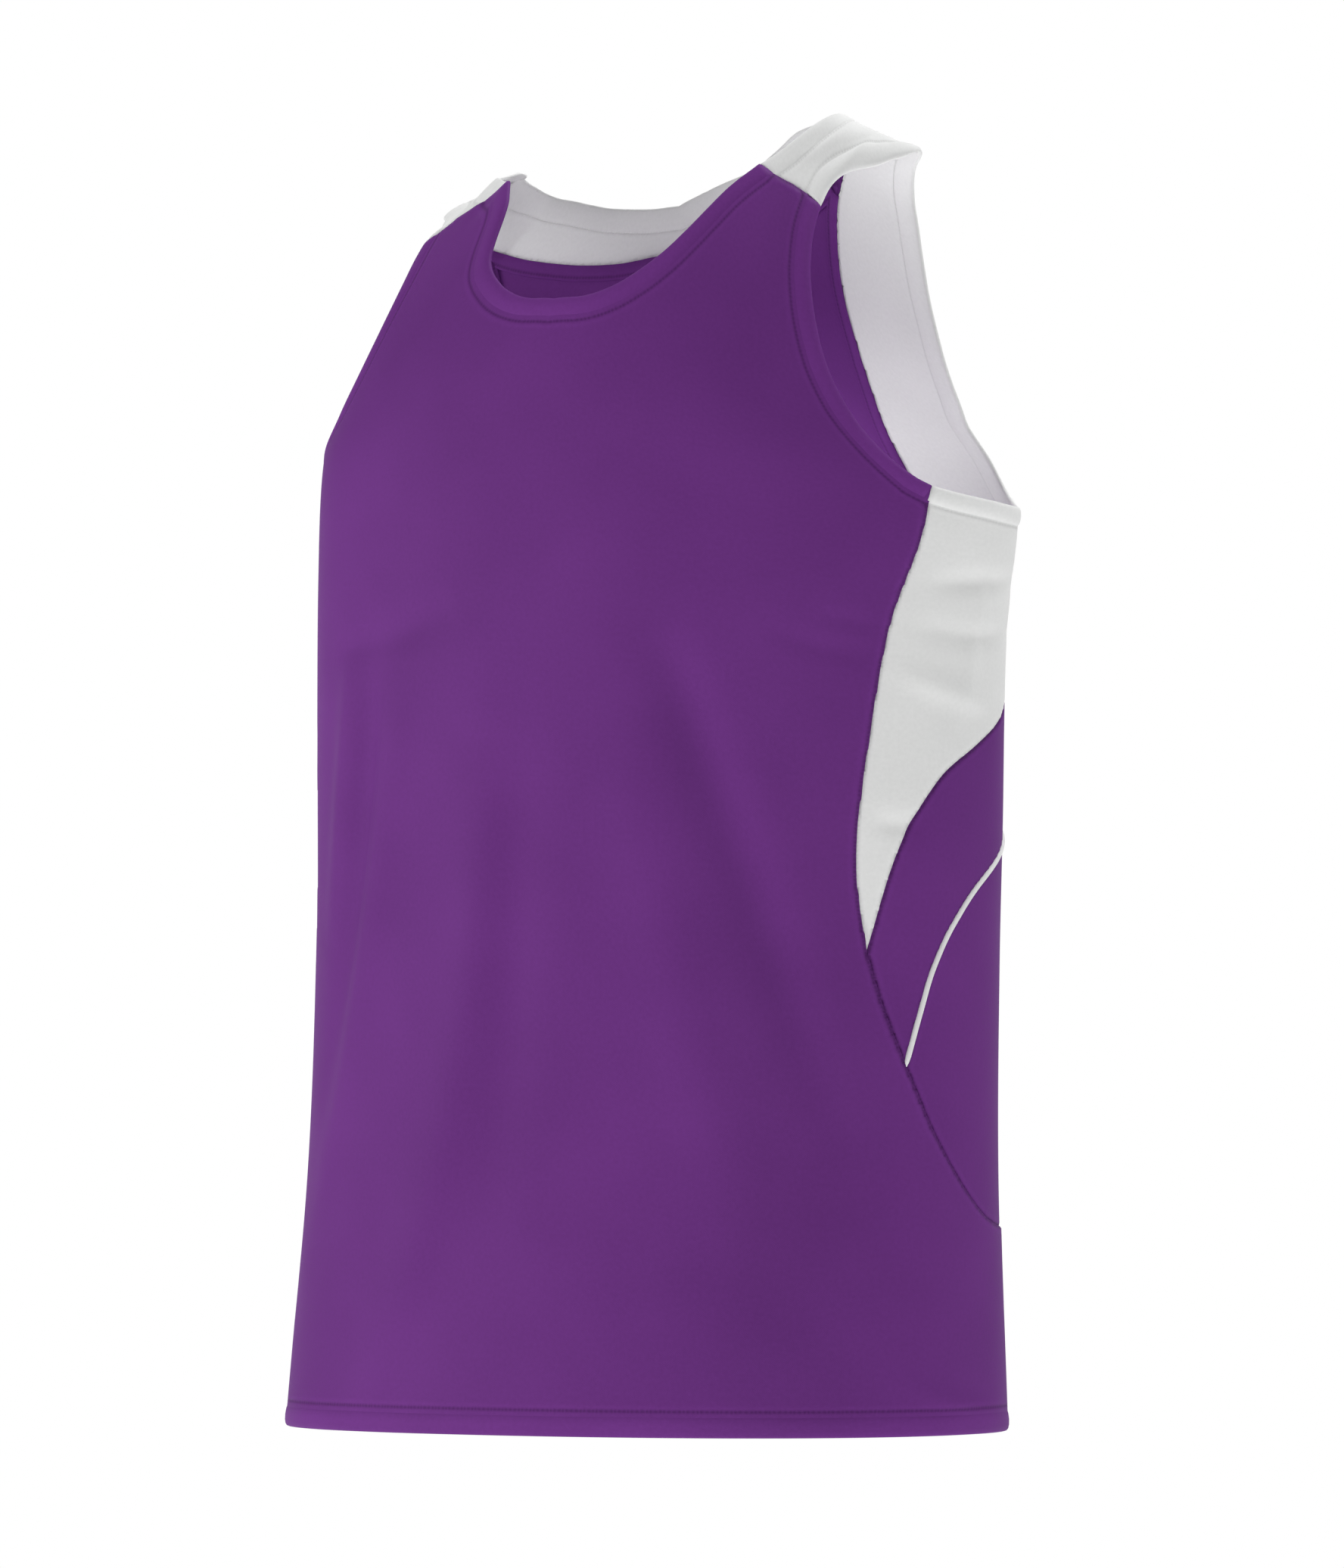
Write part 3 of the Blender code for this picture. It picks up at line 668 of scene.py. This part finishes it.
# a strip that follows a line on the cloth; its closed section holds distances towards the
# cloth's side of the line and heights over the cloth, both in mm
def sewnStrip(name, chart, run, towards, material, section, spacing, ends=(), taper=(), mark=0.0):
    lengths = np.concatenate([[0], np.cumsum(np.linalg.norm(np.diff(run, axis=0), axis=1))])
    even = np.linspace(0, lengths[-1], max(3, round(lengths[-1] / spacing)))
    line = np.stack([np.interp(even, lengths, run[:, k]) for k in (0, 1)], axis=1)
    along = np.gradient(line, axis=0)
    square = np.stack([-along[:, 1], along[:, 0]], axis=1) * towards
    square /= np.linalg.norm(square, axis=1)[:, None]
    inward = square.copy()
    for end, direction in zip((0, -1), ends):     # a mitre along the seam it meets
        weight = np.exp(-np.abs(even - even[end]) / strip["mitreFade"])[:, None]
        inward = inward * (1 - weight) + direction / np.linalg.norm(direction) * weight
    inward /= (inward * square).sum(axis=1)[:, None]
    size = np.ones((len(line), 1))
    for n, share in enumerate(taper):
        size[[n, -1 - n]] = share
    edge, _ = clothPoints(chart, line)
    beyond = edge - clothPoints(chart, line + inward * strip["edgeProbe"])[0]
    beyond /= np.linalg.norm(beyond, axis=1)[:, None]
    rings = []
    for away, height in np.array(section) * 0.001:
        points, outward = clothPoints(chart, line + inward * size * max(away, 0))
        rings.append(points + (outward * height + beyond * max(-away, 0)) * size)
    ribbon = bmesh.new()
    bmesh.ops.create_grid(ribbon, x_segments=len(rings), y_segments=len(line) - 1, size=0.5)
    knitMap = ribbon.loops.layers.uv.new("cloth")
    # the same distances across the strip, for the stitching's relief, painted shade and painted
    # highlight
    seamMap = ribbon.loops.layers.uv.new("seam")
    ribbon.verts.index_update()
    places = [(round((vert.co.x + 0.5) * len(rings)) % len(rings),
               round((vert.co.y + 0.5) * (len(line) - 1))) for vert in ribbon.verts]
    for face in ribbon.faces:
        for loop in face.loops:
            k, n = places[loop.vert.index]
            loop[knitMap].uv = (even[n], section[k][0] * 0.001)
            loop[seamMap].uv = (section[k][0] * 0.001 + mark, even[n])
    for vert, (k, n) in zip(ribbon.verts, places):
        vert.co = rings[k][n]
    bmesh.ops.remove_doubles(ribbon, verts=ribbon.verts[:], dist=strip["merge"])
    openEdges = [edge for edge in ribbon.edges if edge.is_boundary]
    bmesh.ops.holes_fill(ribbon, edges=openEdges, sides=0)
    bmesh.ops.recalc_face_normals(ribbon, faces=ribbon.faces[:])
    piece = toObject(name, ribbon, material)
    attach(piece, "root")
    return piece


hem = {
    # inside of the cloth, round the fold, outside
    "section": [(13.6, -1.1), (12.6, -1.6), (6.0, -2.0), (1.0, -1.8), (-0.4, -1.3), (-0.8, -0.5),
                (-0.6, 0.3), (0.4, 1.1), (2.5, 1.6), (5.5, 1.7), (8.5, 1.4), (10.6, 0.8),
                (12.0, 0.05), (12.8, -0.8)],
    "spacing": 0.003,
    # the same, half as full, for the white edges
    "thinSection": [(13.6, -1.0), (12.6, -1.3), (6.0, -1.6), (1.0, -1.4), (-0.2, -1.0),
                    (-0.4, -0.5), (-0.2, 0.1), (0.6, 0.5), (2.5, 0.7), (5.5, 0.7), (8.5, 0.6),
                    (11.0, 0.35), (12.2, 0.0), (12.8, -0.6)],
    "allowance": [(-0.6, -1.2), (8.0, -0.7), (8.4, -1.6), (8.0, -2.3), (4.0, -2.4), (-0.4, -2.3),
                  (-0.8, -1.8)],
    "allowanceMark": 0.0070,   # sets the row of stitches 6 mm from the seam, its groove in relief and painted shade
    "allowanceTrim": 0.021,    # where the yoke's and the bands' allowances meet
}

seamWay = np.subtract(*edgeRun("shoulderSeam")[1::-1])
frontEnds = (seamWay, seamWay * (-1, 1))
backEnds = (seamWay * (1, -1), seamWay * (-1, -1))


def addHem(name, chart, run, towards, material, ends=()):
    section = hem["thinSection"] if name == "backNeckHem" else hem["section"]
    return sewnStrip(name, chart, run, towards, material, section, hem["spacing"], ends)


purpleHems = [addHem("frontNeckHem", "front", neckFrontRun, -1, purpleKnit, frontEnds),
              addHem("bottomHem", "front", bottomRun, -1, purpleKnit)]
whiteHems = [addHem("backNeckHem", "back", neckBackRun, -1, whiteKnit, backEnds)]
for side, sign in (("Left", 1), ("Right", -1)):
    front, back = armholeRuns[sign]
    purpleHems.append(addHem("frontArmholeHem" + side, "front", front, sign, purpleKnit))
    whiteHems.append(addHem("backArmholeHem" + side, "back", back, -sign, whiteKnit))
trim = round(hem["allowanceTrim"] / step)
yokeRun = bothSides([edgeRun("yokeSeam", step)[:-trim][::-1]])
bandRuns = [edgeRun("bandSeam", step)[trim:-trim] * (sign, 1) for sign in (1, -1)]
allowances = [sewnStrip("seamAllowance" + name, "back", run, towards, purpleKnit, hem["allowance"],
                        hem["spacing"], mark=hem["allowanceMark"])
              for name, run, towards in (("Yoke", yokeRun, -1), ("Left", bandRuns[0], 1),
                                         ("Right", bandRuns[1], -1))]
print("hems and seam allowance made")

piping = {
    "section": [(-1.6, -0.5), (-1.5, 0.5), (-0.9, 1.1), (0.0, 1.35), (0.9, 1.1), (1.5, 0.5),
                (1.6, -0.5)],
    "spacing": 0.003,
    "taper": (0.45, 0.85),
}
backPiping = sewnStrip("backPiping", "back", bothSides([edgeRun("pipingSeam", step)]), 1,
                       whiteKnit, piping["section"], piping["spacing"], taper=piping["taper"])
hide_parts("back_piping")
print("piping made")

studio = {
    "target": (-0.00386, 0.0, -0.35067),
    "azimuth": 36.0,
    "elevation": -3.0,
    "roll": 0.1,
    "distance": 4.0,
    "sensor": 36.0,
    "focalPixels": 9517.3,   # focal length in pixels of the picture's long side
    "longSide": 2072,
    "clip": (0.05, 60),
    "floorBelow": 0.55,      # under the bottom hem
    "floorSize": 3.0,
    "floorColour": (0.86, 0.86, 0.86, 1),
    "floorRoughness": 0.9,
    "floorGlow": 0.56,
    "horizon": (-0.25, 0.25),    # where the room's light from below turns into that from above
    "wallEdge": (0.80, 0.93),
    "roomLight": (0.85, 0.28),   # from below, from above
}

lights = {   # azimuth, elevation, distance, size, power, what it is aimed at
    "keyLight": (-52, 7, 2.4, (1.2, 1.6), 24, studio["target"]),
    "fillLight": (38, -4, 3.0, (1.4, 1.0), 12, studio["target"]),
    "sideLight": (130, -4, 3.0, (1.2, 1.2), 5, studio["target"]),
    "topLight": (162, 67, 2.0, (1.0, 1.0), 29, studio["target"]),
    "insideLight": (-68, -52, 0.27, (0.12, 0.12), 0.19, (0.17, 0.05, -0.04)),
}


# sets an object at a distance from its target, facing it
def aim(item, azimuth, elevation, away, target):
    a, e = math.radians(azimuth), math.radians(elevation)
    back = Vector((math.sin(a) * math.cos(e), -math.cos(a) * math.cos(e), math.sin(e)))
    item.location = Vector(target) + back * away
    item.rotation_euler = (-back).to_track_quat("-Z", "Y").to_euler()
    bpy.context.scene.collection.objects.link(item)


def addCamera():
    data = bpy.data.cameras.new("camera")
    data.sensor_width = studio["sensor"]
    data.lens = studio["sensor"] * studio["focalPixels"] / studio["longSide"]
    data.clip_start, data.clip_end = studio["clip"]
    camera = bpy.data.objects.new("camera", data)
    aim(camera, studio["azimuth"], studio["elevation"], studio["distance"], studio["target"])
    camera.rotation_euler.rotate_axis("Z", math.radians(studio["roll"]))
    bpy.context.scene.camera = camera


def addLight(name, azimuth, elevation, away, size, power, target):
    data = bpy.data.lights.new(name, "AREA")
    data.shape = "RECTANGLE"
    data.size, data.size_y = size
    data.energy = power
    aim(bpy.data.objects.new(name, data), azimuth, elevation, away, target)


def addStage():
    mesh = bmesh.new()
    bmesh.ops.create_grid(mesh, x_segments=1, y_segments=1, size=studio["floorSize"])
    low = cadBox[0].z - studio["floorBelow"]
    bmesh.ops.translate(mesh, verts=mesh.verts[:], vec=(0, 0, low))
    paper = bpy.data.materials.new("studioFloor")
    paper.use_nodes = True
    shader = paper.node_tree.nodes["Principled BSDF"]
    shader.inputs["Base Color"].default_value = studio["floorColour"]
    shader.inputs["Roughness"].default_value = studio["floorRoughness"]
    shader.inputs["Emission Color"].default_value = (1, 1, 1, 1)
    shader.inputs["Emission Strength"].default_value = studio["floorGlow"]
    toObject("studioFloor", mesh, paper)


# a white wall behind the garment, in a room lit more from its white floor than from above
def addWorld():
    world = bpy.data.worlds.new("studio")
    world.use_nodes = True
    nodes, links = world.node_tree.nodes, world.node_tree.links
    where = nodes.new("ShaderNodeTexCoord")
    a = math.radians(studio["azimuth"])
    ramps = []
    for axis, edge in (((0, 0, 1), studio["horizon"]),
                       ((-math.sin(a), math.cos(a), 0), studio["wallEdge"])):
        towards = nodes.new("ShaderNodeVectorMath")
        towards.operation = "DOT_PRODUCT"
        towards.inputs[1].default_value = axis
        links.new(where.outputs["Generated"], towards.inputs[0])
        spread = nodes.new("ShaderNodeMapRange")
        spread.interpolation_type = "SMOOTHSTEP"
        spread.inputs["From Min"].default_value, spread.inputs["From Max"].default_value = edge
        links.new(towards.outputs["Value"], spread.inputs["Value"])
        ramps.append(spread)
    room, wall = ramps
    room.inputs["To Min"].default_value, room.inputs["To Max"].default_value = studio["roomLight"]
    links.new(room.outputs["Result"], wall.inputs["To Min"])
    background = nodes["Background"]
    background.inputs["Color"].default_value = (1, 1, 1, 1)
    links.new(wall.outputs["Result"], background.inputs["Strength"])
    bpy.context.scene.world = world
    bpy.context.scene.view_settings.view_transform = "Standard"


addCamera()
addStage()
addWorld()
for name, setting in lights.items():
    addLight(name, *setting)
print("studio set")
